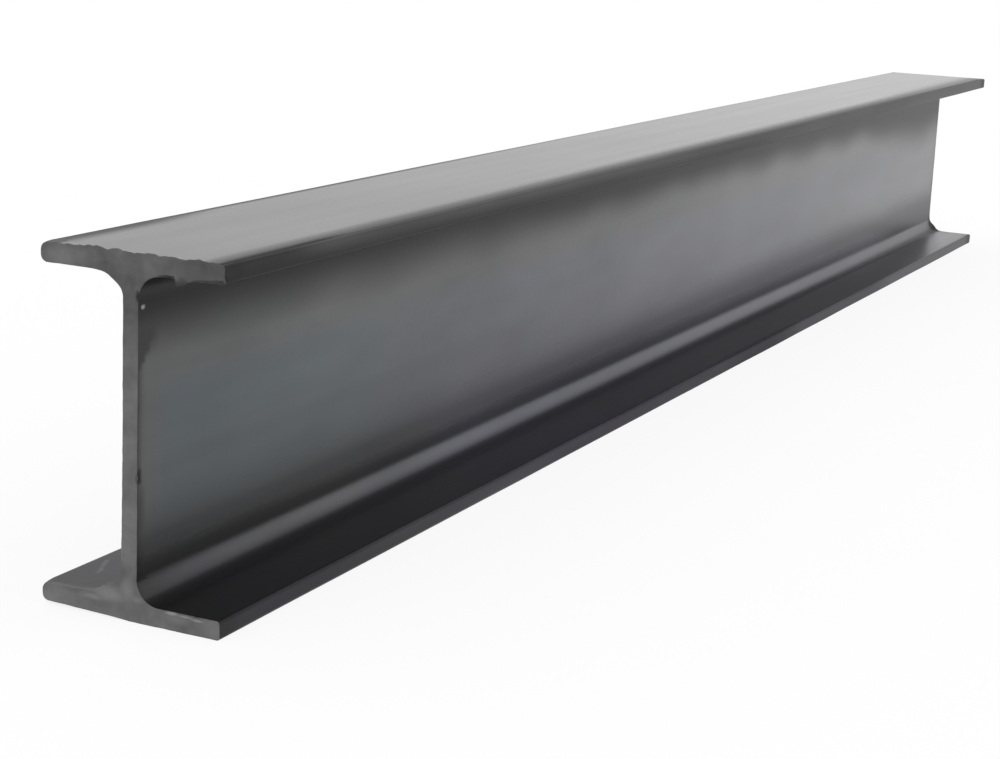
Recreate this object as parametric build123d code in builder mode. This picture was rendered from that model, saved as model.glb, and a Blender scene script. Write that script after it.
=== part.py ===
"""Hot-rolled steel H-beam: a parallel-flange section, rolled in one piece and sawn square at both ends.

Frame, in millimetres: the beam stands on its bottom flange. X runs along the length, Y across the
flanges and Z up. The origin is midway along the beam, under the web, on the floor.
"""

import os

from build123d import *

# Rolled section
section_depth = 100.0  # over the outer faces of both flanges
flange_width = 57.0  # over the toes
flange_thickness = 5.3
web_thickness = 4.7
root_radius = 7.0  # where the web runs into a flange
toe_radius = 0.8  # along the long edges of a flange

# Length between the two sawn ends
beam_length = 840.0

# A radius is held to this share of the wall that it rounds
radius_limit_share = 0.45

# Clear space between the flanges, and how far a flange stands out from the web
clear_depth = section_depth - 2 * flange_thickness
outstand = (flange_width - web_thickness) / 2

toe_fillet = min(toe_radius, radius_limit_share * flange_thickness)
root_fillet = min(root_radius, radius_limit_share * clear_depth, outstand - 2 * toe_fillet)

# The two flanges lie half their thickness in from the bottom and the top of the section
bottom_flange_middle = flange_thickness / 2
top_flange_middle = section_depth - flange_thickness / 2

with BuildPart() as h_beam:
    with BuildSketch(Plane.YZ.offset(-beam_length / 2)) as section:
        with Locations((0, section_depth / 2)):
            Rectangle(web_thickness, clear_depth)
        with Locations((0, bottom_flange_middle), (0, top_flange_middle)):
            Rectangle(flange_width, flange_thickness)

        # Across the flanges, the corners of the square section stand in four columns:
        # the toes of one side, the roots on both faces of the web, the toes of the other side
        corner_columns = section.vertices().group_by(Axis.X)
        fillet(corner_columns[1] + corner_columns[-2], root_fillet)

        # The toes are still the outermost columns once the roots are round
        rounded_columns = section.vertices().group_by(Axis.X)
        fillet(rounded_columns[0] + rounded_columns[-1], toe_fillet)
    extrude(amount=beam_length)

h_beam.part.label = "h_beam"

os.makedirs("parts", exist_ok=True)
export_step(h_beam.part, "parts/h_beam.step")

section_area = h_beam.part.volume / beam_length
print(f"section area {section_area:.1f} mm2, volume {h_beam.part.volume:.0f} mm3")
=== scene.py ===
# %% [markdown]
# # A sawn length of hot-rolled H-beam
#
# The object is one piece of steel: a web between two parallel flanges, squeezed out of one hot bloom by
# rolls and sawn to length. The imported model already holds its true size. This lesson dresses it: the
# rolled faces get the small waves that rolling leaves, the ends get a sawn face with a broken, burred edge,
# and the steel gets its skin of mill scale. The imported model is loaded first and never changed.

import math

import bpy
import numpy as np
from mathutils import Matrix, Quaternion, Vector, geometry, noise


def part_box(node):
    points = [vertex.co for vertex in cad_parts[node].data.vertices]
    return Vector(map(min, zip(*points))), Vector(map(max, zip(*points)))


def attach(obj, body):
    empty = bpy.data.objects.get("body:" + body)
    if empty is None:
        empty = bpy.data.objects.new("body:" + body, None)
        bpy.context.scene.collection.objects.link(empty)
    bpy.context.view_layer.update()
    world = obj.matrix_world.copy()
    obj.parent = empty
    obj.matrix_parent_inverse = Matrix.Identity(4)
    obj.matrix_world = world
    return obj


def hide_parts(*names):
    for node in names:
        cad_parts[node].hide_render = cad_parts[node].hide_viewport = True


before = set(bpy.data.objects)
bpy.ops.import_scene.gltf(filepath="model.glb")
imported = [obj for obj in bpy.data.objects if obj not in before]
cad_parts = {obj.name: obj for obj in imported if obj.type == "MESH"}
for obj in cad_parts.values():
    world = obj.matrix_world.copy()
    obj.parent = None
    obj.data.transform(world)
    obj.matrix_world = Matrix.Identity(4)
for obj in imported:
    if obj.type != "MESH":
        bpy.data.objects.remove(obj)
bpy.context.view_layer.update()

# %% [markdown]
# ## The sizes
#
# Length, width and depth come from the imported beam, so the dressed beam can't drift from it. The walls and
# radii of the section can't be read from a box, so they are named here, in millimetres, as they are on a
# drawing. All the mesh code below works in millimetres and turns to metres once, at the end.

# %% Sizes of the section
MM = 0.001
low, high = (np.array(corner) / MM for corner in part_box("h_beam"))
half_length = (high[0] - low[0]) / 2
half_width = (high[1] - low[1]) / 2
depth = high[2] - low[2]

flange_mm = 5.3
half_web_mm = 4.7 / 2
root_radius_mm = 7.0
toe_radius_mm = 0.8
print(f"beam {2 * half_length:.0f} x {2 * half_width:.0f} x {depth:.0f} mm")

# %% [markdown]
# ## The rolled section
#
# The section is an H with four round roots and eight rounded toes. It could be a curve with bevelled
# corners, but the sawn ends need the same outline at a finer spacing, so a small function walks round it:
# an arc at each corner, then a straight run. `split` cuts every step into equal parts, so the fine outline
# keeps all the points of the plain one, and the two can be joined without gaps. A short step at both ends
# of each run holds the shading of the flat faces flat.

# %% Corners of the section
ROOT_STEPS = 9
TOE_STEPS = 3

root = (root_radius_mm, ROOT_STEPS)
toe = (toe_radius_mm, TOE_STEPS)
inner_low = flange_mm
inner_high = depth - flange_mm
right_side = [
    (half_width, 0.0, toe),
    (half_width, inner_low, toe),
    (half_web_mm, inner_low, root),
    (half_web_mm, inner_high, root),
    (half_width, inner_high, toe),
    (half_width, depth, toe),
]
left_side = [(-y, z, rounding) for y, z, rounding in reversed(right_side)]
corners = right_side + left_side
print("corners of the section", len(corners))

# %% Outline of the section
RUN_STEP_MM = 2.4
HOLD_MM = 0.4
SPLIT = 4


def outline_points(split):
    """Points round the section, counter-clockwise seen from +X, and the outward normal at each."""
    points, tangents = [], []
    for index, (y, z, (radius, steps)) in enumerate(corners):
        here = np.array([y, z])
        before = here - np.array(corners[index - 1][:2])
        next_corner = corners[(index + 1) % len(corners)]
        after = np.array(next_corner[:2]) - here
        way_in = before / np.linalg.norm(before)
        way_out = after / np.linalg.norm(after)
        centre = here - way_in * radius + way_out * radius
        for turn in np.arange(steps * split) / (steps * split) * math.pi / 2:
            points.append(centre + radius * (way_in * math.sin(turn) - way_out * math.cos(turn)))
            tangents.append(way_in * math.cos(turn) + way_out * math.sin(turn))
        run = np.linalg.norm(after) - radius - next_corner[2][0]
        pieces = max(1, round((run - 2 * HOLD_MM) / RUN_STEP_MM))
        marks = np.concatenate(([0.0], np.linspace(HOLD_MM, run - HOLD_MM, pieces + 1), [run]))
        for start, end in zip(marks, marks[1:]):
            for along in start + np.arange(split) / split * (end - start):
                points.append(here + way_out * (radius + along))
                tangents.append(way_out)
    tangents = np.array(tangents)
    normals = np.stack([tangents[:, 1], -tangents[:, 0]], axis=1)
    return np.array(points), normals


plain_outline = outline_points(1)
fine_outline = outline_points(SPLIT)
print("outline points", len(plain_outline[0]), "plain,", len(fine_outline[0]), "fine")

# %% [markdown]
# ## What rolling leaves on the faces
#
# A rolled face is not a ground one. Over a hand's width it swells and sinks by about a tenth of a
# millimetre, and the toes, which no roll closes fully, wander a little more. A flange may also leave the
# rolls leaning: here the back half of the lower one stands up by a millimetre at its toe, well inside what
# a mill allows. Handling then knocks the sharp corners round, as on the back toes of the near end. A
# Displace modifier would do for the waves, but noise added in the mesh code can tell a toe from a face, and
# it keeps the relief in real millimetres.

# %% Noise at points of the beam


def wander(points, feature_mm, offset):
    """Smooth noise from -1 to 1 at each point, with bumps about feature_mm long in x, y and z.

    The offset picks another stretch of the same noise, so that two patterns don't fall together.
    """
    return np.array([noise.noise(Vector(p)) for p in points / np.array(feature_mm) + offset])


def layered_noise(points, layers):
    """Layers of noise added up: how much each counts, how long its bumps are, and its offset."""
    return sum(weight * wander(points, feature_mm, offset) for weight, feature_mm, offset in layers)


def at_x(x, points):
    """Points of the section, placed at x along the beam."""
    return np.column_stack([np.full(len(points), x), points])


print("noise at the outline's first points", wander(at_x(0.5, plain_outline[0][:3]), 9.0, 0.0).round(2))

# %% Leaning flange and knocked toes
# The back half of the lower flange left the rolls leaning up by this much at its toe
LEAN_MM = 1.0
LEAN_CURVE = 0.7

# Knocks rounded the near end's back toes to this radius, over this length
KNOCK_RADIUS_MM = 2.0
KNOCK_LENGTH_MM = 6.0


def lean(points):
    """How far each point of the section is lifted by the lean of the lower flange's back half."""
    out_share = np.clip(points[:, 0] / half_width, 0.0, 1.0) ** LEAN_CURVE
    return LEAN_MM * out_share * (points[:, 1] < depth / 2)


def knocked(x, points):
    """The section's points with the back toes held inside a rounder toe, close to the near end."""
    radius = KNOCK_RADIUS_MM * max(0.0, 1 - (x + half_length) / KNOCK_LENGTH_MM)
    if radius <= toe_radius_mm:
        return points
    across, up = points.T
    bottom = np.where(up > depth / 2, inner_high, 0.0)
    centres = np.column_stack([np.minimum(across, half_width - radius),
                               np.clip(up, bottom + radius, bottom + flange_mm - radius)])
    from_centre = points - centres
    away = np.maximum(np.hypot(*from_centre.T), radius)
    rounder = centres + from_centre * (radius / away)[:, None]
    return np.where((across > half_width - radius)[:, None], rounder, points)


print("most lean", lean(plain_outline[0]).max().round(2), "mm")

# %% Loop of the rolled beam
# Layers of relief: how high each stands, how long its bumps are in x, y and z, and its offset
ROLLED_RELIEF_MM = [(0.07, (150.0, 45.0, 45.0), 3.1), (0.025, (28.0, 13.0, 13.0), 17.3)]
TOE_WANDER_MM = 0.22
TOE_BUMPS = ((55.0, 40.0, 40.0), 41.7)
TOE_ZONE_MM = 3.0


def rolled_ring(x, outline):
    """One loop of points round the beam at x, with the relief of the rolled faces."""
    points, normals = outline
    points = knocked(x, points)
    ring = at_x(x, points)
    ring[:, 1:] += normals * layered_noise(ring, ROLLED_RELIEF_MM)[:, None]
    toe_share = np.clip((np.abs(points[:, 0]) - half_width + TOE_ZONE_MM) / TOE_ZONE_MM, 0.0, 1.0)
    toe_wander = TOE_WANDER_MM * toe_share * wander(ring, *TOE_BUMPS)
    ring[:, 1] += np.sign(points[:, 0]) * toe_wander
    ring[:, 2] += lean(points)
    return ring


middle_ring = rolled_ring(0.0, plain_outline)
print("a loop at mid-length spans", np.ptp(middle_ring[:, 1:], axis=0).round(2), "mm")

# %% [markdown]
# ## Painted shade and highlight, and where the scale is dull or tinted
#
# Mill scale isn't the same all over a beam, and here shade and highlight are painted into it as darker and
# paler scale. Painted shade is darkest under the top flange, with a ragged lower edge, and a second band of
# painted shade lies on the web, over the lower root. A painted highlight runs along the crest of that root,
# all but a hand's width before the near cut, and the lower flange's upper face carries painted shade that is
# paler towards its far corner. Where shade is painted the scale is also duller. The toes keep a dark edge,
# which runs out over the outer faces, and the lower toes are worn duller in stretches. The thin scale on the
# web shows a trace of the blue and violet of tempered steel. Painting this by hand would do for one beam.
# Shares from 0 to 1, worked out from where a point lies on the section, do for any length, and the material
# reads them as mesh attributes.

# %% Fades


def fade(distance, near, far):
    """1 up to the near distance, 0 from the far one on, and a smooth slope between them."""
    slope = np.clip((far - distance) / (far - near), 0.0, 1.0)
    return slope * slope * (3 - 2 * slope)


def near_fade(x, reach):
    """A fade along the beam, with the reach measured from the near end."""
    return fade(x + half_length, *reach)


def far_fade(x, reach):
    """A fade along the beam, with the reach measured from the far end."""
    return fade(half_length - x, *reach)


def between(start, end, share):
    """The value that lies the given share of the way from start to end."""
    return start + (end - start) * share


print("fade a quarter of the way down", fade(0.25, 0.0, 1.0))

# %% Painted shade on the web
# A pair is where a fade starts and where it ends, and a share is how much shade is painted, from 0 to 1
UNDER_TOP_MM = np.array([7.0, 27.5])
UNDER_TOP_MID_MM = np.array([11.0, 26.0])
UNDER_TOP_FAR_MM = np.array([14.0, 40.0])
UNDER_TOP_SHARE = 0.98
UNDER_TOP_FAR_SHARE = 0.9
UNDER_TOP_DROP_MM = (400.0, 560.0)
UNDER_TOP_FAR_ZONE_MM = (20.0, 200.0)
UNDER_TOP_RAGGED = 0.12
UNDER_TOP_WAVE_MM = 34.0
UNDER_TOP_SEED = 6.4
NEAR_ZONE_MM = (150.0, 330.0)
BAND_HEIGHT_MM = 22.0
BAND_SHARE = 0.54
BAND_FAR_SHARE = 0.68
BAND_DROP_MM = 14.0
BAND_MID_DROP_MM = 9.2
BAND_NEAR_MM = (330.0, 560.0)
BAND_FOOT_MM = 9.0
BAND_FAR_MM = (50.0, 170.0)
BAND_FAR_GROWTH = 0.03


def web_shade(x, up):
    """How much shade is painted on the web at each height: under the top flange, and in a band over the
    lower root.
    """
    reach = between(UNDER_TOP_MID_MM, UNDER_TOP_MM, near_fade(x, NEAR_ZONE_MM))
    reach = between(reach, UNDER_TOP_FAR_MM, far_fade(x, UNDER_TOP_FAR_ZONE_MM))
    wave = noise.noise(Vector((x / UNDER_TOP_WAVE_MM, 0.0, UNDER_TOP_SEED)))
    reach = reach * (1 + UNDER_TOP_RAGGED * wave)
    most = between(UNDER_TOP_FAR_SHARE, UNDER_TOP_SHARE, near_fade(x, UNDER_TOP_DROP_MM))
    # Painted shade under the top flange, with a ragged lower edge
    under_top = most * fade(inner_high - up, *reach)
    # Painted shade in a band over the lower root
    above, below = np.maximum(up - BAND_HEIGHT_MM, 0.0), np.maximum(BAND_HEIGHT_MM - up, 0.0)
    near_drop, mid_drop = np.exp(-above / BAND_DROP_MM), np.exp(-(above / BAND_MID_DROP_MM) ** 2)
    drop = between(mid_drop, near_drop, near_fade(x, BAND_NEAR_MM))
    far_part = far_fade(x, BAND_FAR_MM)
    foot = between(fade(below, 0.0, BAND_FOOT_MM), 1 + BAND_FAR_GROWTH * below, far_part)
    band = between(BAND_SHARE, BAND_FAR_SHARE, far_part) * foot * drop
    return np.maximum(under_top, band)


print("web shade at 20, 50 and 80 mm", web_shade(0.0, np.array([20.0, 50.0, 80.0])).round(2))

# %% Painted highlight and shade in the lower roots, and painted shade on the lower flange
CREST_SHARE = 0.11
CREST_FAR_SHARE = 0.43
CREST_FAR_MM = (190.0, 420.0)
CREST_TURN_DEG = (22.0, 57.0)
CREST_START_MM = 36.0
ROOT_HEAD_SHARE = 0.8
ROOT_HEAD_DEG = (0.0, 28.0)
ROOT_HEAD_FAR_MM = (30.0, 110.0)
ROOT_END_SHARE = 0.79
FLANGE_SHARE = 0.77
# The lower flange's painted shade is lighter towards the far end, and lightest at its far corner
FAR_CORNER_SHARE = 0.36
FAR_CORNER_MM = (30.0, 70.0)
FAR_CORNER_SLANT = 3.0
FAR_CORNER_MIDDLE_MM = 18.0
FAR_PALER_SHARE = 0.22
FAR_PALER_MM = (80.0, 230.0)


def root_turn(out):
    """How far round a root a point lies, in degrees: 0 at the web and 90 at the flange."""
    return np.degrees(np.arccos(np.clip(1 - (out - half_web_mm) / root_radius_mm, 0.0, 1.0)))


def low_root_highlight_and_shade(x, out):
    """How much shade is painted round a lower root: a painted highlight at the crest, painted shade where it
    meets the web and the flange, and close to the near cut.
    """
    # Painted highlight on the crest, and painted shade towards the web, the flange and the near cut
    crest = between(CREST_SHARE, CREST_FAR_SHARE, far_fade(x, CREST_FAR_MM))
    wear_and_highlight = between(FLANGE_SHARE, crest, fade(root_turn(out), *CREST_TURN_DEG))
    head = ROOT_HEAD_SHARE * fade(root_turn(out), *ROOT_HEAD_DEG) * far_fade(x, ROOT_HEAD_FAR_MM)
    wear_and_highlight = np.maximum(wear_and_highlight, head)
    return between(wear_and_highlight, ROOT_END_SHARE, math.exp(-(x + half_length) / CREST_START_MM))


def low_flange_shade(x, out):
    """How much shade is painted on the lower flange's upper face: less towards the far end, and least at the
    far corner.
    """
    # Painted shade, lighter towards the far corner
    to_corner = half_length - x - FAR_CORNER_SLANT * (out - FAR_CORNER_MIDDLE_MM)
    thin = FAR_PALER_SHARE * far_fade(x, FAR_PALER_MM)
    return FLANGE_SHARE - np.maximum(thin, FAR_CORNER_SHARE * fade(to_corner, *FAR_CORNER_MM))


print("crest of the root at mid-length", round(float(low_root_highlight_and_shade(0.0, half_web_mm)), 2))

# %% Scale on the toes
TOP_TOE_SHARE = 0.95
LOW_TOE_SHARE = 1.0
FAR_TOE_SHARE = 0.88
FAR_TOE_MM = (60.0, 250.0)
TOE_PATCH_SHARE = 0.14
TOE_PATCH_BUMPS = ((70.0, 5.0, 5.0), 51.5)
PALE_TOE_SHARE = 0.38
PALE_TOE_HEIGHT_MM = (1.6, 4.8)
PALE_TOE_START_MM = (28.0, 56.0)
PALE_TOE_END_MM = (130.0, 420.0)


def toe_scale(x, up, ring):
    """How dark the rolled edge of a flange is, with paler patches, and a paler stretch along the top toe's
    upper part, a little way from the near end.
    """
    whole = np.where(up > depth / 2, TOP_TOE_SHARE, LOW_TOE_SHARE)
    whole = whole - TOE_PATCH_SHARE * np.clip(wander(ring, *TOE_PATCH_BUMPS), 0.0, 1.0)
    along = near_fade(x, PALE_TOE_END_MM) - near_fade(x, PALE_TOE_START_MM)
    whole = whole - PALE_TOE_SHARE * along * fade(depth - up, *PALE_TOE_HEIGHT_MM)
    return between(whole, FAR_TOE_SHARE, far_fade(x, FAR_TOE_MM))


print("toes", TOP_TOE_SHARE, "above and", LOW_TOE_SHARE, "below")

# %% Scale on the outer faces
FAR_ZONE_MM = (30.0, 280.0)
EDGE_SHARE = 0.77
FRONT_EDGE_MM = np.array([2.0, 11.5])
FRONT_EDGE_FAR_MM = np.array([2.0, 17.0])
FRONT_CORNER_MM = (1.4, 3.6)
FRONT_CORNER_END_MM = (45.0, 95.0)
BACK_EDGE_MM = (4.5, 7.5)
BACK_EDGE_END_MM = (35.0, 100.0)
BACK_LINE_MM = (1.2, 3.2)
BACK_LINE_SHARE = 0.75
BACK_LINE_FAR_SHARE = 0.15
BACK_LINE_END_MM = (130.0, 420.0)


def front_corner(x, across):
    """How far a point of an outer face lies in the dark strip by the front toe, towards the near end."""
    edge = half_width - np.abs(across)
    return (across < 0) * fade(edge, *FRONT_CORNER_MM) * near_fade(x, FRONT_CORNER_END_MM)


def outer_scale(x, across):
    """How far the dark of the toes runs out over an outer face: wide in front, short at the back."""
    edge = half_width - np.abs(across)
    front_reach = between(FRONT_EDGE_MM, FRONT_EDGE_FAR_MM, far_fade(x, FAR_ZONE_MM))
    front = EDGE_SHARE * fade(edge, *front_reach)
    front = np.maximum(front, front_corner(x, across))
    back = EDGE_SHARE * fade(edge, *BACK_EDGE_MM) * near_fade(x, BACK_EDGE_END_MM)
    line = between(BACK_LINE_FAR_SHARE, BACK_LINE_SHARE, near_fade(x, BACK_LINE_END_MM))
    back = np.maximum(back, line * fade(edge, *BACK_LINE_MM))
    return np.where(across < 0, front, back)


print("outer scale 5 mm in from the front toe", outer_scale(0.0, np.array([5.0 - half_width])).round(2))

# %% Painted shade close to a cut
CUT_LINE_MM = (0.8, 3.8)
CUT_LINE_SHARE = 0.44
CUT_LINE_LOW_MM = 7.0
CUT_LINE_LOW_SHARE = 0.66
CUT_LOW_MM = (32.0, 42.0)
CUT_PATCH_MM = 14.0
CUT_PATCH_SHARE = 0.72
CUT_PATCH_LOW_SHARE = 0.12
CUT_PATCH_UNDER_TOP_MM = (17.0, 26.5)
CUT_PATCH_RAGGED = 0.5
CUT_PATCH_BUMPS = ((60.0, 9.0, 9.0), 8.8)
CUT_PATCH_FULL = 0.55

# A dark nick by the cut: its height on the web, how far in it lies, and its half-sizes up and along
NICK_MM = (40.4, 0.9, 3.0, 1.8)
NICK_FADE = (0.6, 1.0)


def cut_shade_and_nick(from_end, up, ring):
    """How dark the scale is close to a cut: a thin line of painted shade along the arris, patches of painted
    shade high on the web, and a dark nick.
    """
    # Patches of painted shade, high on the web close to the cut
    ragged = 1 + CUT_PATCH_RAGGED * wander(ring, *CUT_PATCH_BUMPS)
    high = fade(inner_high - up, *CUT_PATCH_UNDER_TOP_MM)
    reach = CUT_PATCH_MM * ragged * between(CUT_PATCH_LOW_SHARE, 1.0, high)
    patch = CUT_PATCH_SHARE * fade(from_end, CUT_PATCH_FULL * reach, reach)
    height, way_in, half_height, half_span = NICK_MM
    nick = fade(np.hypot((up - height) / half_height, (from_end - way_in) / half_span), *NICK_FADE)
    near_front = (ring[:, 0] < 0) & (ring[:, 1] < 0)
    patch = np.maximum(patch, near_front * nick)
    # A thin line of painted shade along the arris of the cut
    low_part = fade(up, *CUT_LOW_MM)
    line_reach = between(CUT_LINE_MM[1], CUT_LINE_LOW_MM, low_part)
    line_share = between(CUT_LINE_SHARE, CUT_LINE_LOW_SHARE, low_part)
    return np.maximum(patch, line_share * fade(from_end, CUT_LINE_MM[0], line_reach))


near_web = np.array([[-half_length, -half_web_mm, depth / 2]])
print("scale at the near cut, half-way up", cut_shade_and_nick(0.0, near_web[:, 2], near_web).round(2))

# %% Zones of the section
TOUCH_MM = 0.01
TOE_MM = (0.4, 2.4)
TOE_FOOT_MM = 1.5


def section_zones(outline):
    """Which points of the section lie where: yes or no, but for the toe, which fades from 1 to 0."""
    points, normals = outline
    across, up = points.T
    out = np.abs(across)
    upper = up > depth / 2
    inside = (up > inner_low - TOUCH_MM) & (up < inner_high + TOUCH_MM) & (out < half_width - toe_radius_mm)
    web = inside & (out < half_web_mm + TOUCH_MM)
    low_root = inside & ~web & ~upper & (out < half_web_mm + root_radius_mm)
    return {
        "upper": upper,
        "inside": inside,
        "web": web,
        "low_root": low_root,
        "low_back": inside & ~upper & ~web & ~low_root & (across > 0),
        "outer": (up < TOUCH_MM) | (up > depth - TOUCH_MM),
        "under_toe": upper & (normals[:, 1] < -TOUCH_MM),
        "toe_foot": upper & (up < inner_high + TOE_FOOT_MM),
        "toe": fade(half_width - out, *TOE_MM),
    }


plain_zones = section_zones(plain_outline)
print("points in each zone", {name: int((zone > 0).sum()) for name, zone in plain_zones.items()})

# %% How dark the scale is, with its painted shade and highlight


def shade_and_dark_share(x, points, zone):
    """How dark the scale is at each point of the section at x, from 0 to 1, with its painted shade and
    highlight.
    """
    across, up = points.T
    out = np.abs(across)
    ring = at_x(x, points)
    # Painted shade under the top flange and on the lower flange's upper face
    dark = np.where(zone["upper"], UNDER_TOP_SHARE, low_flange_shade(x, out))
    dark = np.where(zone["low_root"], low_root_highlight_and_shade(x, out), dark)
    dark = np.where(zone["web"], web_shade(x, up), dark)
    dark = zone["inside"] * np.maximum(dark, cut_shade_and_nick(half_length - abs(x), up, ring))
    dark = np.maximum(dark, zone["toe"] * toe_scale(x, up, ring))
    return np.where(zone["outer"], outer_scale(x, across), dark)


middle_dark = shade_and_dark_share(0.0, plain_outline[0], plain_zones)
print("mean dark share at mid-length", middle_dark.mean().round(2))

# %% How dull the toes are
# A dull value goes from 0, where the scale keeps its sheen, to 1, where it is matt
EDGE_DULL = 0.9
TOE_DULL = 0.3
UNDER_TOE_DULL = 0.45
TOE_FOOT_DULL = 0.46
TOE_FOOT_ZONE_MM = (380.0, 620.0)
CUT_TOE_DULL = 0.5
CUT_TOE_MM = (6.0, 20.0)

# Dull stretches of the lower toes: the middle along the beam, how far each reaches, and how dull
WORN_TOES = [(-90.0, (90.0, 180.0), 0.22), (20.0, (10.0, 110.0), 0.38), (125.0, (70.0, 140.0), 0.17)]


def toe_dull_share(x, across, zone):
    """How dull a toe is at each point, and the edge that it has on an outer face."""
    wear_and_highlight = max(share * fade(abs(x - middle), *reach) for middle, reach, share in WORN_TOES) * ~zone["upper"]
    foot = zone["toe_foot"] * TOE_FOOT_DULL * near_fade(x, TOE_FOOT_ZONE_MM)
    toe_dull = np.where(zone["under_toe"], UNDER_TOE_DULL, np.maximum(TOE_DULL + wear_and_highlight, foot))
    toe_dull = np.maximum(toe_dull, CUT_TOE_DULL * fade(half_length - abs(x), *CUT_TOE_MM))
    edge_dull = EDGE_DULL * np.where(across < 0, 1.0, near_fade(x, BACK_LINE_END_MM))
    return np.where(zone["outer"], edge_dull, toe_dull)


print("dull stretches on the lower toes", len(WORN_TOES))

# %% How dull the scale is
# Scale is duller where shade is painted darker, and so are the scuffs that slings and hands leave on the
# outer faces
DULL_PER_DARK = 0.38
OUTER_DULL_PER_DARK = 0.62
RUBBED_DULL = 0.1
ROOT_FOOT_DULL = 0.45
ROOT_FOOT_DEG = (40.0, 60.0)
LOW_BACK_DULL = 0.37
SCUFF_MM = (-200.0, 700.0)
SCUFF_SHARE = 0.17


def dull_share(x, points, zone, dark):
    """How dull the scale is at each point of the section at x, from 0 to 1."""
    across = points[:, 0]
    outer_dull = between(OUTER_DULL_PER_DARK, DULL_PER_DARK, far_fade(x, FAR_ZONE_MM))
    dull = np.where(zone["outer"], outer_dull, DULL_PER_DARK) * dark
    root_dull = between(ROOT_FOOT_DULL, RUBBED_DULL, fade(root_turn(np.abs(across)), *ROOT_FOOT_DEG))
    dull = np.where(zone["low_root"], root_dull, dull)
    dull = np.where(zone["low_back"], LOW_BACK_DULL, dull)
    dull = np.maximum(dull, SCUFF_SHARE * zone["outer"] * near_fade(x, SCUFF_MM))
    dull = np.maximum(dull, zone["outer"] * front_corner(x, across))
    return np.maximum(dull, zone["toe"] * toe_dull_share(x, across, zone))


middle_dull = dull_share(0.0, plain_outline[0], plain_zones, middle_dark)
print("mean dull share at mid-length", middle_dull.mean().round(2))

# %% Tints, and all the shares of a loop
TINT_TOP_MM = (58.0, 70.0)
TINT_END_MM = (5.0, 18.0)
BLUE_MM = (90.0, 220.0)
BLUE_FOOT_MM = (17.0, 30.0)
VIOLET_NEAR_SHARE = 0.4


def tint_shares(x, up, zone):
    """Blue towards the near end and violet further on, on the web's lower part and what lies under it."""
    tinted = np.maximum(zone["inside"], ~zone["upper"] * zone["toe"]) * fade(up, *TINT_TOP_MM)
    tinted = tinted * (1 - fade(half_length - abs(x), *TINT_END_MM))
    near_part = near_fade(x, BLUE_MM)
    blue = zone["web"] * tinted * near_part * (1 - fade(up, *BLUE_FOOT_MM))
    violet = tinted * np.where(zone["web"], 1 - near_part, between(1.0, VIOLET_NEAR_SHARE, near_part))
    return blue, violet


def scale_shares(x, outline):
    """How dark with painted shade and highlight, how dull, blue and violet the scale is at each point of the
    loop at x, from 0 to 1.
    """
    points, zone = outline[0], section_zones(outline)
    dark = shade_and_dark_share(x, points, zone)
    dull = dull_share(x, points, zone, dark)
    blue, violet = tint_shares(x, points[:, 1], zone)
    return np.column_stack([dark, dull, blue, violet])


mean_shares = scale_shares(0.0, plain_outline).mean(axis=0).round(2)
print("mean shares at mid-length: dark, dull, blue and violet", mean_shares)

# %% [markdown]
# ## The sawn ends
#
# A saw leaves a flat face with shallow marks, a broken arris where grains of steel tore out, and here and
# there a fin of burr. On the near end the blade came out at the top and left a ragged lip there. It tore up
# the edge under the top flange, where a fin of burr still hangs, pressed burr into both back roots, and
# left a notch in the web's front edge. The far end only keeps some burr in its front lower root. A bevel
# modifier gives an edge of one even width, which is just what a sawn edge lacks. So the last two loops at
# each end are made with noise: one loop is pulled back along the beam by a ragged amount, the next is drawn
# in from the outline by another, and the strip between them is the torn arris. The damage of the near end
# is added to the same two loops.

# %% Burr in the roots
# The end, near or far, where the two faces would meet, how far the burr stands there,
# and how far it spreads across and up
NEAR, FAR = -1, 1
ROOT_BURRS_MM = [
    (NEAR, (half_web_mm, inner_high), 1.35, (6.0, 3.0)),
    (NEAR, (half_web_mm, inner_low), 3.5, (8.0, 4.7)),
    (NEAR, (half_web_mm, inner_low), 0.38, (8.0, 21.0)),
    (FAR, (-half_web_mm, inner_low), 2.4, (5.0, 5.0)),
]
BURR_LENGTH_MM = 3.4


def root_burr(points, side):
    """How far the burr in the roots of one end stands out at each point."""
    stands = np.zeros(len(points))
    for end, place, height, reach in ROOT_BURRS_MM:
        across, up = ((points - np.array(place)) / np.array(reach)).T
        same_root = (end == side) & (points[:, 0] * place[0] > 0)
        stands += same_root * height * np.exp(-across ** 2 - up ** 2)
    inner_faces = (points[:, 1] > inner_low - TOUCH_MM) & (points[:, 1] < inner_high + TOUCH_MM)
    return stands * inner_faces


def end_ring(x, outline):
    """A rolled loop, swelled close to an end by the burr in its roots."""
    ring = rolled_ring(x, outline)
    side = NEAR if x < 0 else FAR
    burr = root_burr(outline[0], side) * fade(half_length - abs(x), 0.0, BURR_LENGTH_MM)
    ring[:, 1:] += outline[1] * burr[:, None]
    return ring


print("burr stands out by", [root_burr(fine_outline[0], side).max().round(2) for side in (NEAR, FAR)], "mm")

# %% Lips on the near end
# A normal this far along an axis faces that way, and a point this close to a face lies on it
FACING = 0.9
CLOSE_MM = 0.1

# Along the top, where the saw came out, the lip swings slowly and quickly. Another lies on the lower
# flange's back half. Both die out over the last stretch before a toe
TOP_LIP_MM = 0.33
TOP_LIP_SWING_MM = (0.8, 0.4)
LOW_LIP_MM = 0.35
LIP_END_MM = 4.0


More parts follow.
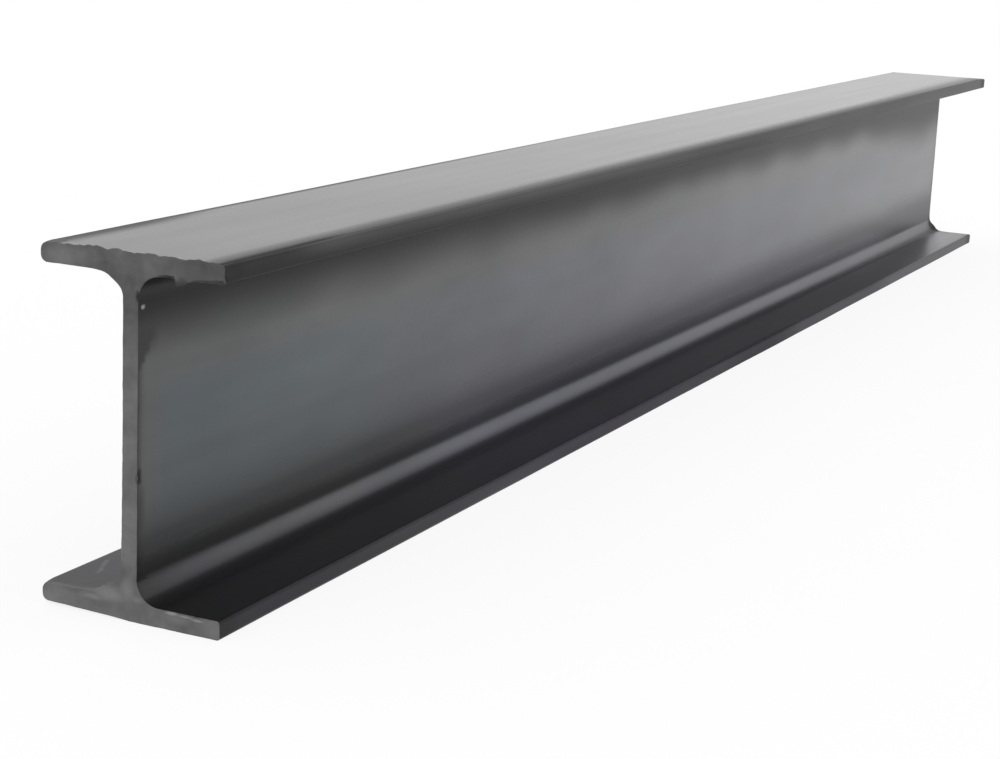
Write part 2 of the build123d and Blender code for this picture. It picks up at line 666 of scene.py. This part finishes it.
def near_lip(points, normals, lip, slow, quick):
    """The lip of the near end: the one given, with the top lip and the low lip in their places."""
    across, up = points.T
    top_lip = TOP_LIP_MM + TOP_LIP_SWING_MM[0] * slow + TOP_LIP_SWING_MM[1] * quick
    top_lip *= fade(np.abs(across), half_width - LIP_END_MM, half_width - toe_radius_mm)
    lip = np.where(up > depth - CLOSE_MM, top_lip, lip)
    low_back = (normals[:, 1] > FACING) & (up < depth / 2) & (across > 0)
    low_lip = LOW_LIP_MM * (1 + slow) * fade(across, half_width - LIP_END_MM, half_width)
    return lip + low_back * low_lip


print("top lip", TOP_LIP_MM, "mm on the whole")

# %% Torn edge and notch of the near end
# Under the top flange the arris was torn up in front, and a fin of burr hangs from it.
# Each pair: place across the flange, and how far the edge lies over the flange's underside
TORN_EDGE_MM = [
    (-28.5, 1.1), (-23.8, 0.6), (-20.2, 0.2), (-19.0, 0.0), (-18.4, -0.6), (-16.9, -1.2),
    (-15.4, -2.0), (-14.2, -2.2), (-13.6, 0.5), (-11.0, 0.6), (-7.0, 0.0),
]
TORN_HEIGHT_MM = 2.2

# A notch in the front arris: height on the web, depth, half-width, and half-width of its floor
NOTCH_MM = (40.0, 0.5, 0.8, 0.2)


def torn_edge(points):
    """How far the torn arris lies over the top flange's underside, and below it where the fin hangs."""
    torn = np.interp(points[:, 0], *np.array(TORN_EDGE_MM).T) * (points[:, 1] > depth / 2)
    return torn * np.clip(1 - (points[:, 1] - inner_high) / TORN_HEIGHT_MM, 0.0, 1.0)


def notch(points, normals):
    """How far the notch takes the web's front arris back."""
    height, notch_depth, half_notch, half_floor = NOTCH_MM
    at_notch = (normals[:, 0] < -FACING) & (np.abs(points[:, 0]) < half_web_mm + CLOSE_MM)
    return notch_depth * at_notch * fade(np.abs(points[:, 1] - height), half_floor, half_notch)


print("the fin hangs down", -torn_edge(fine_outline[0]).min().round(2), "mm")

# %% Broken arris at an end
LIP_MM = 0.02
ARRIS_MM = 0.26
ARRIS_CHIP_MM = 0.12
PULL_BACK_LIMITS_MM = (0.06, 1.0)
DRAW_IN_LIMITS_MM = (0.08, 0.9)
BOTTOM_CHIP_MM = 0.35
TORN_RAGGED = 0.2
FIN_BASE_SHARE = 0.8

# Layers of bumps on the torn edge: how much each counts, how long it is in x, y and z, and its offset
CHIPS = [(1.0, (9.0, 3.2, 3.2), 5.9), (0.6, (9.0, 1.3, 1.3), 23.1)]
TEETH = [(1.0, (9.0, 2.1, 2.1), 61.3), (0.5, (9.0, 0.9, 0.9), 77.7)]

# Bumps of the lips: how long they are in x, y and z, and their offset
SLOW_BUMPS = ((9.0, 4.0, 4.0), 26.2)
QUICK_BUMPS = ((9.0, 1.5, 1.5), 14.6)


def arris_loops(side):
    """The torn strip at one end: its outer loop and its inner loop."""
    face_x = side * half_length
    normals = fine_outline[1]
    points = knocked(face_x, fine_outline[0])
    ring = at_x(face_x, points)
    pull_back = np.clip(ARRIS_MM + ARRIS_CHIP_MM * layered_noise(ring, CHIPS), *PULL_BACK_LIMITS_MM)
    draw_in = np.clip(ARRIS_MM + ARRIS_CHIP_MM * layered_noise(ring, TEETH), *DRAW_IN_LIMITS_MM)
    slow, quick = wander(ring, *SLOW_BUMPS), wander(ring, *QUICK_BUMPS)
    lip = LIP_MM * (slow + quick)
    lift = np.zeros(len(points))
    if side == NEAR:
        lip = near_lip(points, normals, lip, slow, quick)
        torn = torn_edge(points)
        lift = torn * (1 + TORN_RAGGED * quick)
        pull_back += np.maximum(torn, 0.0)
        pull_back += notch(points, normals)
        draw_in += BOTTOM_CHIP_MM * (points[:, 1] < CLOSE_MM) * np.clip(slow + quick, 0.0, 1.0)
    outer = end_ring(face_x, fine_outline)
    outer[:, 0] -= side * pull_back
    outer[:, 1:] += normals * lip[:, None]
    outer[:, 2] += FIN_BASE_SHARE * np.minimum(lift, 0.0)
    inner = ring.copy()
    inner[:, 1:] += normals * (lip + root_burr(points, side) - draw_in)[:, None]
    inner[:, 2] += lift + lean(points)
    return outer, inner


near_outer, near_inner = arris_loops(NEAR)
print("near arris reaches", round(float(near_outer[:, 0].max() + half_length), 2), "mm along the beam")

# %% [markdown]
# ## The face that the saw left
#
# The face inside the arris has to be filled. One big polygon would do for a plain cap, but it couldn't
# carry relief. A Delaunay fill keeps the outline's points and adds points of our own inside it, so the
# slow steps of the saw's feed are real shape. Finer scratches go in the material.

# %% Points inside a loop


def inside_section(points, loop):
    """Which points lie inside a closed loop, by counting the crossings of a level line."""
    crossings = np.zeros(len(points), int)
    for (y0, z0), (y1, z1) in zip(loop, np.roll(loop, -1, axis=0)):
        spans = (z0 > points[:, 1]) != (z1 > points[:, 1])
        slope = (y1 - y0) / (z1 - z0) if z1 != z0 else 0.0
        crossings += spans & (points[:, 0] < y0 + slope * (points[:, 1] - z0))
    return crossings % 2 == 1


web_middle = np.array([[0.0, depth / 2]])
print("web's middle inside the outline", inside_section(web_middle, plain_outline[0]))

# %% Fill of a sawn face
FACE_GRID_MM = 1.1

# The grid's points are shaken, from a fixed seed, and keep clear of the rim, both by shares of its spacing
GRID_SEED = 7
GRID_SHAKE = 0.3
GRID_CLEAR = 0.6

# The fill gives the triangles inside the rim alone, and takes points this close together as one
INSIDE_RIM = 1
SAME_POINT_MM = 1e-6


def sawn_face(loop):
    """Points inside the loop, and triangles over the loop's own points followed by those."""
    rng = np.random.default_rng(GRID_SEED)
    across = np.arange(-half_width, half_width, FACE_GRID_MM)
    up = np.arange(0.0, depth, FACE_GRID_MM)
    grid = np.array([(y, z) for z in up for y in across])
    grid += rng.uniform(-GRID_SHAKE, GRID_SHAKE, grid.shape) * FACE_GRID_MM
    grid = grid[inside_section(grid, loop)]
    gap = np.array([np.hypot(*(loop - p).T).min() for p in grid])
    grid = grid[gap > GRID_CLEAR * FACE_GRID_MM]
    flat = [Vector(p) for p in np.concatenate([loop, grid])]
    rim = [(k, (k + 1) % len(loop)) for k in range(len(loop))]
    filled = geometry.delaunay_2d_cdt(flat, rim, [], INSIDE_RIM, SAME_POINT_MM)
    triangles, origins = filled[2:4]
    return grid, [[origins[v][0] for v in triangle] for triangle in triangles]


print("the fill's points lie about", FACE_GRID_MM, "mm apart")

# %% Relief of a sawn face
FEED_STEP_MM = 4.2
FEED_DEPTH_MM = 0.05
FEED_SLANT = 0.25
FACE_ROUGH_MM = 0.07
FACE_BUMPS = [(1.0, (9.0, 3.5, 3.5), 12.4), (0.5, (9.0, 1.6, 1.6), 33.3)]

# The two ends take their roughness from places of the noise that lie this far from its middle
END_APART_MM = 50.0


def saw_relief(points, side):
    """How far the sawn face lies below the end plane: feed steps across the depth, and roughness."""
    steps = np.sin(2 * math.pi * (points[:, 1] + FEED_SLANT * points[:, 0]) / FEED_STEP_MM)
    rough = layered_noise(at_x(side * END_APART_MM, points), FACE_BUMPS)
    return FACE_ROUGH_MM + FEED_DEPTH_MM * (1 + steps) / 2 + FACE_ROUGH_MM * rough


print("the near face lies", saw_relief(web_middle, NEAR).round(3), "mm under the end plane at its middle")

# %% [markdown]
# ## The beam as one mesh
#
# All the loops, from one sawn face to the other, are laid side by side and joined by strips. Where a fine
# loop meets a plain one, a seven-sided face takes the four short edges and the long one. Building the lists
# once and handing them to the mesh is quicker and cleaner than extruding loop by loop.

# %% Loops and strips
# Plain loops stand about this far apart and stop short of the ends, where fine loops take over
STATION_MM = 2.9
END_ZONE_MM = 7.0
END_LOOPS_MM = (4.4, 2.6, 1.4)

# Slots of the two materials on the mesh
SCALE_SLOT, SAWN_SLOT = 0, 1

plain_half = half_length - END_ZONE_MM
stations = np.linspace(-plain_half, plain_half, round(2 * plain_half / STATION_MM))
far_outer, far_inner = arris_loops(FAR)

places = [(-half_length + d, fine_outline) for d in reversed(END_LOOPS_MM)]
places += [(x, plain_outline) for x in stations]
places += [(half_length - d, fine_outline) for d in END_LOOPS_MM]
loops = [near_inner, near_outer] + [end_ring(x, outline) for x, outline in places] + [far_outer, far_inner]
share_places = [(-half_length, fine_outline)] * 2 + places + [(half_length, fine_outline)] * 2
shares = [scale_shares(x, outline) for x, outline in share_places]
first = np.cumsum([0] + [len(loop) for loop in loops])

faces, slots, smooth = [], [], []
for number, (a, b) in enumerate(zip(loops, loops[1:])):
    a0, b0 = first[number], first[number + 1]
    count = min(len(a), len(b))
    a_step, b_step = len(a) // count, len(b) // count
    for j in range(count):
        a_side = [a0 + (j * a_step + k) % len(a) for k in range(a_step + 1)]
        b_side = [b0 + (j * b_step + k) % len(b) for k in range(b_step + 1)]
        faces.append(a_side + b_side[::-1])
    torn = number in (0, len(loops) - 2)
    slots += [SAWN_SLOT if torn else SCALE_SLOT] * count
    smooth += [not torn] * count
print("loops", len(loops), "strip faces", len(faces))

# %% Sawn faces and the finished mesh
SHARP_DEG = 34.0
SHARE_NAMES = ("dark_scale_and_painted_shade", "dull_scale", "blue_scale", "violet_scale")

vertices = list(loops)
next_vertex = first[-1]
for side, loop_number in ((NEAR, 0), (FAR, len(loops) - 1)):
    rim = loops[loop_number]
    rim_start = first[loop_number]
    inner_points, triangles = sawn_face(rim[:, 1:])
    inner = at_x(side * half_length, inner_points)
    inner[:, 0] -= side * saw_relief(inner_points, side)
    vertices.append(inner)
    lookup = list(range(rim_start, rim_start + len(rim)))
    lookup += list(range(next_vertex, next_vertex + len(inner)))
    for triangle in triangles:
        order = triangle if side == FAR else triangle[::-1]
        faces.append([lookup[v] for v in order])
    slots += [SAWN_SLOT] * len(triangles)
    smooth += [True] * len(triangles)
    next_vertex += len(inner)

mesh = bpy.data.meshes.new("rolled_beam")
mesh.from_pydata(np.concatenate(vertices) * MM, [], faces)
mesh.polygons.foreach_set("material_index", slots)
mesh.polygons.foreach_set("use_smooth", smooth)
mesh.set_sharp_from_angle(angle=math.radians(SHARP_DEG))
share_values = np.zeros((len(mesh.vertices), len(SHARE_NAMES)), np.float32)
share_values[:first[-1]] = np.concatenate(shares)
for column, name in enumerate(SHARE_NAMES):
    attribute = mesh.attributes.new(name, "FLOAT", "POINT")
    attribute.data.foreach_set("value", share_values[:, column].copy())
mesh.update()
beam = bpy.data.objects.new("rolled_beam", mesh)
bpy.context.scene.collection.objects.link(beam)
triangles_made = sum(len(face) - 2 for face in faces)
print("beam vertices", len(mesh.vertices), "triangles", triangles_made)

# %% [markdown]
# ## Colours and nodes
#
# Colours are written as sRGB hex, as a colour picker shows them, and one function turns them to the linear
# values that shaders work in. One more small function adds a node, sets it up and links it, and another
# starts a material.

# %% Colour and node helpers


def linear(hex_colour):
    """sRGB hex to a linear colour with full alpha."""
    channels = [int(hex_colour[k:k + 2], 16) / 255 for k in (1, 3, 5)]
    return [c / 12.92 if c <= 0.04045 else ((c + 0.055) / 1.055) ** 2.4 for c in channels] + [1.0]


def add(tree, kind, sockets=None, **settings):
    """Adds a node, sets its properties, and sets or links its input sockets."""
    made = tree.nodes.new(kind)
    for name, value in settings.items():
        setattr(made, name, value)
    for socket, value in (sockets or {}).items():
        if isinstance(value, bpy.types.NodeSocket):
            tree.links.new(value, made.inputs[socket])
        else:
            made.inputs[socket].default_value = value
    return made


def new_material(name, owner):
    """Gives the owner's mesh a new material, and returns its node tree and its main shader."""
    material = bpy.data.materials.new(name)
    material.use_nodes = True
    owner.data.materials.append(material)
    return material.node_tree, material.node_tree.nodes["Principled BSDF"]


print("scale grey in linear light", [round(c, 3) for c in linear("#5A5F63")])

# %% [markdown]
# ## Marks where the steel is bare, and painted shade on the near end
#
# A knock or a saw tooth breaks the skin and leaves a pale mark, and dark patches of painted shade lie on the
# near end: under the hanging fin, in root corners, in the notch and along the foot of the face. A mark could
# be a vertex attribute, but most of these are finer than the mesh.
# So each is a small ellipsoid in the object's own coordinates: the distance from its middle, in half-sizes,
# is roughened by noise and turned into a share. A slanting scratch, like the one on the lower flange behind
# the web, is a row of them.

# %% Marks, and patches of painted shade
# In the scale: middle and half-sizes along x, y and z in millimetres, and how strong the mark is
SCALE_MARKS = [((-417.7, -2.35, 85.8), (1.3, 0.8, 0.9), 0.6)]
SCRATCH_ENDS_MM = np.array([(-404.6, 20.8, 6.0), (-395.3, 24.8, 6.0)])
SCRATCH_HALF_MM = (1.8, 0.8, 2.0)
SCRATCH_SHARE = 0.1
SCRATCH_MARKS = 8
for step in np.linspace(0.0, 1.0, SCRATCH_MARKS):
    SCALE_MARKS.append((between(*SCRATCH_ENDS_MM, step), SCRATCH_HALF_MM, SCRATCH_SHARE))

# On the near end: the same, but along y and z alone
END_MARKS = [
    ((-13.8, 4.9), (3.0, 0.8), 0.45),
    ((-17.7, 4.7), (4.0, 0.5), 0.45),
    ((-21.8, 4.3), (3.4, 0.5), 0.4),
    ((-16.0, 3.6), (5.0, 2.2), 0.14),
    ((-26.0, 3.0), (5.0, 4.0), 0.12),
    ((-2.6, 6.6), (3.4, 1.4), 0.15),
    ((0.4, 9.0), (3.0, 5.0), 0.16),
    ((6.2, 6.6), (7.0, 3.0), 0.2),
    ((11.5, 5.0), (5.0, 1.2), 0.2),
    ((25.0, 3.2), (8.0, 4.0), 0.09),
    ((19.5, 97.6), (13.0, 5.0), 0.13),
]
# Patches of painted shade on the near end, given the same way
END_SHADE_PATCHES = [
    ((-15.4, 92.8), (7.0, 3.0), 0.72),
    ((-2.4, 88.9), (1.0, 2.0), 0.85),
    ((-2.4, 40.0), (0.8, 2.0), 0.55),
    ((0.0, 4.2), (60.0, 4.4), 0.13),
    ((17.5, 5.9), (9.0, 2.0), 0.24),
]
print("marks", len(SCALE_MARKS), "in the scale,", len(END_MARKS), "on the end, shade patches", len(END_SHADE_PATCHES))

# %% Share of the marks
END_MARK_HALF_MM = 2.0
MARK_RAGGED = 0.9
MARK_FADE = (0.6, 1.5)


def on_near_end(marks):
    """Marks that are given along y and z, placed on the near end."""
    return [((-half_length, *middle), (END_MARK_HALF_MM, *half_sizes), strength)
            for middle, half_sizes, strength in marks]


def mark_share(tree, place, grain, marks):
    """How marked the steel is, from 0 to 1: the most that any of the marks gives."""
    most = 0.0
    for middle, half_sizes, strength in marks:
        middle_m, half_m = np.array(middle) * MM, np.array(half_sizes) * MM
        scaled = add(tree, "ShaderNodeVectorMath", {0: place, 1: 1 / half_m, 2: -middle_m / half_m},
                     operation="MULTIPLY_ADD")
        away = add(tree, "ShaderNodeVectorMath", {0: scaled.outputs[0]}, operation="LENGTH")
        rough_away = add(tree, "ShaderNodeMath", {0: grain, 1: MARK_RAGGED, 2: away.outputs["Value"]},
                         operation="MULTIPLY_ADD")
        limits = {"From Min": MARK_FADE[0], "From Max": MARK_FADE[1], "To Min": strength, "To Max": 0.0}
        marked = add(tree, "ShaderNodeMapRange", {"Value": rough_away.outputs[0], **limits},
                     interpolation_type="SMOOTHSTEP")
        most = add(tree, "ShaderNodeMath", {0: most, 1: marked.outputs[0]}, operation="MAXIMUM").outputs[0]
    return most


print("first mark on the near end", on_near_end(END_MARKS)[0])

# %% [markdown]
# ## Hot-rolled mill scale
#
# Steel that leaves the rolls red-hot grows a thin, hard skin of iron oxide. To the eye it is a dark grey
# with a soft metallic sheen, cloudy over a hand's width, drawn out into faint streaks along the rolling
# direction, and finely pitted. The skin conducts like a metal and reflects like one, so it is a metallic
# Principled shader. A painted texture would need UVs and would end somewhere. Noise that is stretched along
# the beam makes the clouds and the streaks instead, and the shares on the mesh say where the scale is dull
# or tinted, and where shade and highlight are painted into its colour as darker and paler scale.

# %% Patterns of the mill scale
# Real pits are about 0.3 mm across, too fine to show from here, so they are drawn at 1.7 mm
scale_mm = {
    "cloud": (85.0, 26.0, 26.0),
    "streak": (260.0, 6.0, 6.0),
    "pits": (1.7, 1.7, 1.7),
}
SCALE_DETAIL = 4.0
SHARE_LIMITS = {
    "cloud": {"From Min": 0.35, "From Max": 0.65},
    "streak": {"From Min": 0.45, "From Max": 0.75, "To Max": 0.10},
}

tree, shader = new_material("hot_rolled_mill_scale", beam)
place = add(tree, "ShaderNodeTexCoord").outputs["Object"]
pattern = {}
for name, feature in scale_mm.items():
    scaled = add(tree, "ShaderNodeVectorMath", {0: place, 1: [1 / (f * MM) for f in feature]},
                 operation="MULTIPLY")
    pattern[name] = add(tree, "ShaderNodeTexNoise", {"Vector": scaled.outputs[0], "Scale": 1.0,
                                                     "Detail": SCALE_DETAIL}).outputs["Fac"]
share = {name: add(tree, "ShaderNodeAttribute", attribute_name=name).outputs["Fac"] for name in SHARE_NAMES}
share["bare"] = mark_share(tree, place, pattern["pits"], SCALE_MARKS)
for name, limits in SHARE_LIMITS.items():
    share[name] = add(tree, "ShaderNodeMapRange", {"Value": pattern[name], **limits}).outputs[0]
print("patterns and their sizes in mm", scale_mm)

# %% Colours of the mill scale
# Thin scale is cloudy, and each pair is the darker and the paler colour of its clouds
CLOUD_HEX = {
    "plain": ("#575858", "#626262"),
    "blue_scale": ("#545A5E", "#5D6367"),
    "violet_scale": ("#595A60", "#63646B"),
}
# The colour that the dark share lays on, plain and violet: painted shade under the top flange, over the
# lower root and on the lower flange, and the dark of the toes
PAINTED_SHADE_HEX = "#29292B"
PAINTED_SHADE_VIOLET_HEX = "#2B2734"
STREAK_HEX = "#73777A"
BARE_HEX = "#C4C5C5"

# Sockets of the Mix node: its two colours, and the mixed one
MIX_A, MIX_B, MIX_OUT = 6, 7, 2

cloud = {}
for name, (darker, paler) in CLOUD_HEX.items():
    pair = {MIX_A: linear(darker), MIX_B: linear(paler)}
    cloud[name] = add(tree, "ShaderNodeMix", {0: share["cloud"], **pair}, data_type="RGBA").outputs[MIX_OUT]
shade_pair = {MIX_A: linear(PAINTED_SHADE_HEX), MIX_B: linear(PAINTED_SHADE_VIOLET_HEX)}
shaded_scale = add(tree, "ShaderNodeMix", {0: share["violet_scale"], **shade_pair}, data_type="RGBA")

# Each layer lies over the ones before it, by its share
layers = {
    "blue_scale": cloud["blue_scale"],
    "violet_scale": cloud["violet_scale"],
    "streak": linear(STREAK_HEX),
    # Painted shade and highlight, and the dark of the toes, by the dark share
    "dark_scale_and_painted_shade": shaded_scale.outputs[MIX_OUT],
    "bare": linear(BARE_HEX),
}
colour = cloud["plain"]
for name, over in layers.items():
    colour = add(tree, "ShaderNodeMix", {0: share[name], MIX_A: colour, MIX_B: over},
                 data_type="RGBA").outputs[MIX_OUT]
tree.links.new(colour, shader.inputs["Base Color"])
print("thin scale", *CLOUD_HEX["plain"], "shade colour", PAINTED_SHADE_HEX)

# %% Sheen and pits of the mill scale
# Fresh scale is fairly smooth, and scale is matt where the dull share is high, as under painted shade and on
# scuffs
SHEEN_LIMITS = {"From Min": 0.3, "From Max": 0.7, "To Min": 0.195, "To Max": 0.215}
DULL_ROUGHNESS = 0.75
PIT_DEPTH_MM = 0.05
PIT_STRENGTH = 0.6

# Sockets of the Mix node when it mixes plain values
VALUE_A, VALUE_B = 2, 3

sheen = add(tree, "ShaderNodeMapRange", {"Value": pattern["streak"], **SHEEN_LIMITS}).outputs[0]
rough = add(tree, "ShaderNodeMix", {0: share["dull_scale"], VALUE_A: sheen, VALUE_B: DULL_ROUGHNESS})
pits = add(tree, "ShaderNodeBump", {"Height": pattern["pits"], "Strength": PIT_STRENGTH,
                                    "Distance": PIT_DEPTH_MM * MM})
tree.links.new(rough.outputs[0], shader.inputs["Roughness"])
tree.links.new(pits.outputs["Normal"], shader.inputs["Normal"])
shader.inputs["Metallic"].default_value = 1.0
print("mill scale nodes", len(tree.nodes))

# %% [markdown]
# ## Sawn steel
#
# The ends were cut cold by a saw and have since dulled. To the eye such a face is a plain mid grey, softly
# blotched where coolant dried on it, with fine lines across it and paler steel where the edge was rubbed.
# Shade is painted into its colour as a darker grey towards the top, and as dark patches on the near end. It
# is a metal like the rest, only rougher, so it keeps the metallic shader with a middling roughness. A wave
# texture gives the lines, but alone it would look printed, so two noises, at the sizes of a blotch and of a
# grain, give the rest.

# %% Patterns of the sawn steel
BLOTCH_MM = 13.0
BLOTCH_LIMITS = {"From Min": 0.3, "From Max": 0.7}
GRAIN_MM = 2.0
SAWN_DETAIL = 3.0
BLOTCH_ROUGHNESS = 0.6

# Real saw lines lie about 0.4 mm apart, too fine to show from here, so they are drawn at 1.3 mm
SAW_LINE_MM = 1.3
SAW_LINE_WAVER = {"Distortion": 1.5, "Detail": 2.0}

# At a scale of 1 the wave node turns through 20 radians a metre, so one of its bands is this long
WAVE_BAND_M = 2 * math.pi / 20

# Painted shade darkens the top of the face: where it starts, and where it is full
TOP_SHADE_LIMITS = {"From Min": 60.0 * MM, "From Max": 97.0 * MM}

tree, shader = new_material("dulled_sawn_steel", beam)
place = add(tree, "ShaderNodeTexCoord").outputs["Object"]
blotch_noise = {"Scale": 1 / (BLOTCH_MM * MM), "Detail": SAWN_DETAIL, "Roughness": BLOTCH_ROUGHNESS}
blotch = add(tree, "ShaderNodeTexNoise", {"Vector": place, **blotch_noise}).outputs["Fac"]
grain_noise = {"Scale": 1 / (GRAIN_MM * MM), "Detail": SAWN_DETAIL}
grain = add(tree, "ShaderNodeTexNoise", {"Vector": place, **grain_noise}).outputs["Fac"]
saw_wave = {"Scale": WAVE_BAND_M / (SAW_LINE_MM * MM), **SAW_LINE_WAVER}
lines = add(tree, "ShaderNodeTexWave", {"Vector": place, **saw_wave}, bands_direction="Z").outputs["Fac"]
blotch_share = add(tree, "ShaderNodeMapRange", {"Value": blotch, **BLOTCH_LIMITS}).outputs[0]
height = add(tree, "ShaderNodeSeparateXYZ", {"Vector": place}).outputs["Z"]
top_shade_share = add(tree, "ShaderNodeMapRange", {"Value": height, **TOP_SHADE_LIMITS}).outputs[0]
bare = mark_share(tree, place, grain, on_near_end(END_MARKS))
# Patches of painted shade on the near end
end_shade = mark_share(tree, place, grain, on_near_end(END_SHADE_PATCHES))
print("blotches", BLOTCH_MM, "mm, grain", GRAIN_MM, "mm, saw lines", SAW_LINE_MM, "mm")

# %% Colours of the sawn steel
# Each pair is a darker and a paler grey: the blotches low on the face, those at its top, which are darker as
# painted shade, and the grain
SAWN_HEX = {"low": ("#686868", "#7E7E7E"), "high": ("#545454", "#707070"), "grain": ("#E8E8E8", "#FFFFFF")}
# The colour of the near end's painted shade
END_SHADE_HEX = "#303030"
RUBBED_HEX = "#B4B5B5"

greys = {}
for name, (darker, paler) in SAWN_HEX.items():
    mixed_by = grain if name == "grain" else blotch_share
    greys[name] = add(tree, "ShaderNodeMix", {0: mixed_by, MIX_A: linear(darker), MIX_B: linear(paler)},
                      data_type="RGBA").outputs[MIX_OUT]

# Each layer lies over the ones before it: its share, its colour and how it blends
layers = [
    # The painted shade at the top of the face, by its share
    (top_shade_share, greys["high"], "MIX"),
    (1.0, greys["grain"], "MULTIPLY"),
    # The near end's patches of painted shade
    (end_shade, linear(END_SHADE_HEX), "MIX"),
    (bare, linear(RUBBED_HEX), "MIX"),
]
colour = greys["low"]
for layer_share, over, blend in layers:
    colour = add(tree, "ShaderNodeMix", {0: layer_share, MIX_A: colour, MIX_B: over},
                 data_type="RGBA", blend_type=blend).outputs[MIX_OUT]
print("sawn greys", SAWN_HEX)

# %% Sheen and lines of the sawn steel
# Where coolant dried the face is paler and a little smoother
SAWN_ROUGHNESS = {"To Min": 0.56, "To Max": 0.44}
SAW_LINE_DEPTH_MM = 0.03
SAW_LINE_STRENGTH = 0.5

rough = add(tree, "ShaderNodeMapRange", {"Value": blotch, **BLOTCH_LIMITS, **SAWN_ROUGHNESS}).outputs[0]
relief = add(tree, "ShaderNodeBump", {"Height": lines, "Strength": SAW_LINE_STRENGTH,
                                      "Distance": SAW_LINE_DEPTH_MM * MM}).outputs["Normal"]
tree.links.new(colour, shader.inputs["Base Color"])
tree.links.new(rough, shader.inputs["Roughness"])
tree.links.new(relief, shader.inputs["Normal"])
shader.inputs["Metallic"].default_value = 1.0
print("sawn steel nodes", len(tree.nodes))

# %% [markdown]
# ## Floor
#
# The beam stands on a plain white floor, as on a sheet of paper in a light tent. A big plane is enough. It
# is matt paint, so it takes the beam's soft shadow and throws plain light back up under the flanges. To
# the camera, and in the steel's reflections, it would look light grey, because the sky alone lights it. So
# the rays that see it directly get most of their white from a glow, and the rest from the paint, which
# keeps the shadow. The Light Path node tells these rays from the others, and the glow adds no light to the
# beam's own shading.

# %% Floor
FLOOR_HALF_M = 12.0
FLOOR_GLOW = 0.86
floor_mesh = bpy.data.meshes.new("floor")
floor_corners = [(-1, -1), (1, -1), (1, 1), (-1, 1)]
floor_points = [(x * FLOOR_HALF_M, y * FLOOR_HALF_M, 0.0) for x, y in floor_corners]
floor_mesh.from_pydata(floor_points, [], [(0, 1, 2, 3)])
floor = bpy.data.objects.new("floor", floor_mesh)
bpy.context.scene.collection.objects.link(floor)
tree, floor_shader = new_material("matt_white_floor", floor)
floor_shader.inputs["Base Color"].default_value = linear("#FFFFFF")
floor_shader.inputs["Roughness"].default_value = 1.0
floor_shader.inputs["Specular IOR Level"].default_value = 0.0
ray = add(tree, "ShaderNodeLightPath").outputs
seen = ray["Is Camera Ray"]
for kind in ("Is Glossy Ray", "Is Transmission Ray"):
    seen = add(tree, "ShaderNodeMath", {0: seen, 1: ray[kind]}, operation="MAXIMUM").outputs[0]
glow_share = add(tree, "ShaderNodeMath", {0: seen, 1: FLOOR_GLOW}, operation="MULTIPLY")
glow = add(tree, "ShaderNodeEmission", {"Color": linear("#FFFFFF"), "Strength": 1.0})
blend = add(tree, "ShaderNodeMixShader", {0: glow_share.outputs[0], 1: floor_shader.outputs[0],
                                          2: glow.outputs[0]})
tree.links.new(blend.outputs[0], tree.nodes["Material Output"].inputs["Surface"])
print("floor", 2 * FLOOR_HALF_M, "m square")

# %% [markdown]
# ## Light
#
# An even white sky is the plainest soft studio. Lamps would do too, but rolled steel shows every lamp as a
# bright streak along the beam, and the real one was lit from all round. At a strength of 1 a colour renders
# about as it is written, and the Standard view transform keeps it so.

# %% Sky
SKY_STRENGTH = 1.0
world = bpy.data.worlds.new("white_studio")
bpy.context.scene.world = world
world.use_nodes = True
world.node_tree.nodes["Background"].inputs["Color"].default_value = linear("#FFFFFF")
world.node_tree.nodes["Background"].inputs["Strength"].default_value = SKY_STRENGTH
bpy.context.scene.view_settings.view_transform = "Standard"
print("sky strength", SKY_STRENGTH)

# %% [markdown]
# ## Camera
#
# The camera stands off the near end, a little above the beam, and looks along its front side. A long lens
# from about half a metre off the end draws the far end small, but not tiny. A Track To constraint would
# hold the aim, but it leaves no room for the small roll of a camera held by hand. So the turn is worked out
# once: the way to the aim, and then the roll about it.

# %% Camera
EYE_MM = (-865.8, -314.1, 192.8)
AIM_MM = (-191.4, 0.0, 24.0)
ROLL_DEG = 2.56
LENS_MM = 76.1

camera_data = bpy.data.cameras.new("camera")
camera_data.lens = LENS_MM
camera_data.sensor_width = 36.0
camera_data.clip_start = 0.01
camera_data.clip_end = 100.0
camera = bpy.data.objects.new("camera", camera_data)
bpy.context.scene.collection.objects.link(camera)
camera.location = Vector(EYE_MM) * MM
look = (Vector(AIM_MM) - Vector(EYE_MM)).to_track_quat("-Z", "Y")
camera.rotation_mode = "QUATERNION"
camera.rotation_quaternion = look @ Quaternion((0, 0, 1), math.radians(ROLL_DEG))
bpy.context.scene.camera = camera
print("camera", [round(c, 3) for c in camera.location], "m, lens", LENS_MM, "mm")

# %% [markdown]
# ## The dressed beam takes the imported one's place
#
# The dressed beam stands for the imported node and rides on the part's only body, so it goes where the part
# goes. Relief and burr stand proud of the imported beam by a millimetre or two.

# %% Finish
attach(beam, "root")
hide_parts("h_beam")
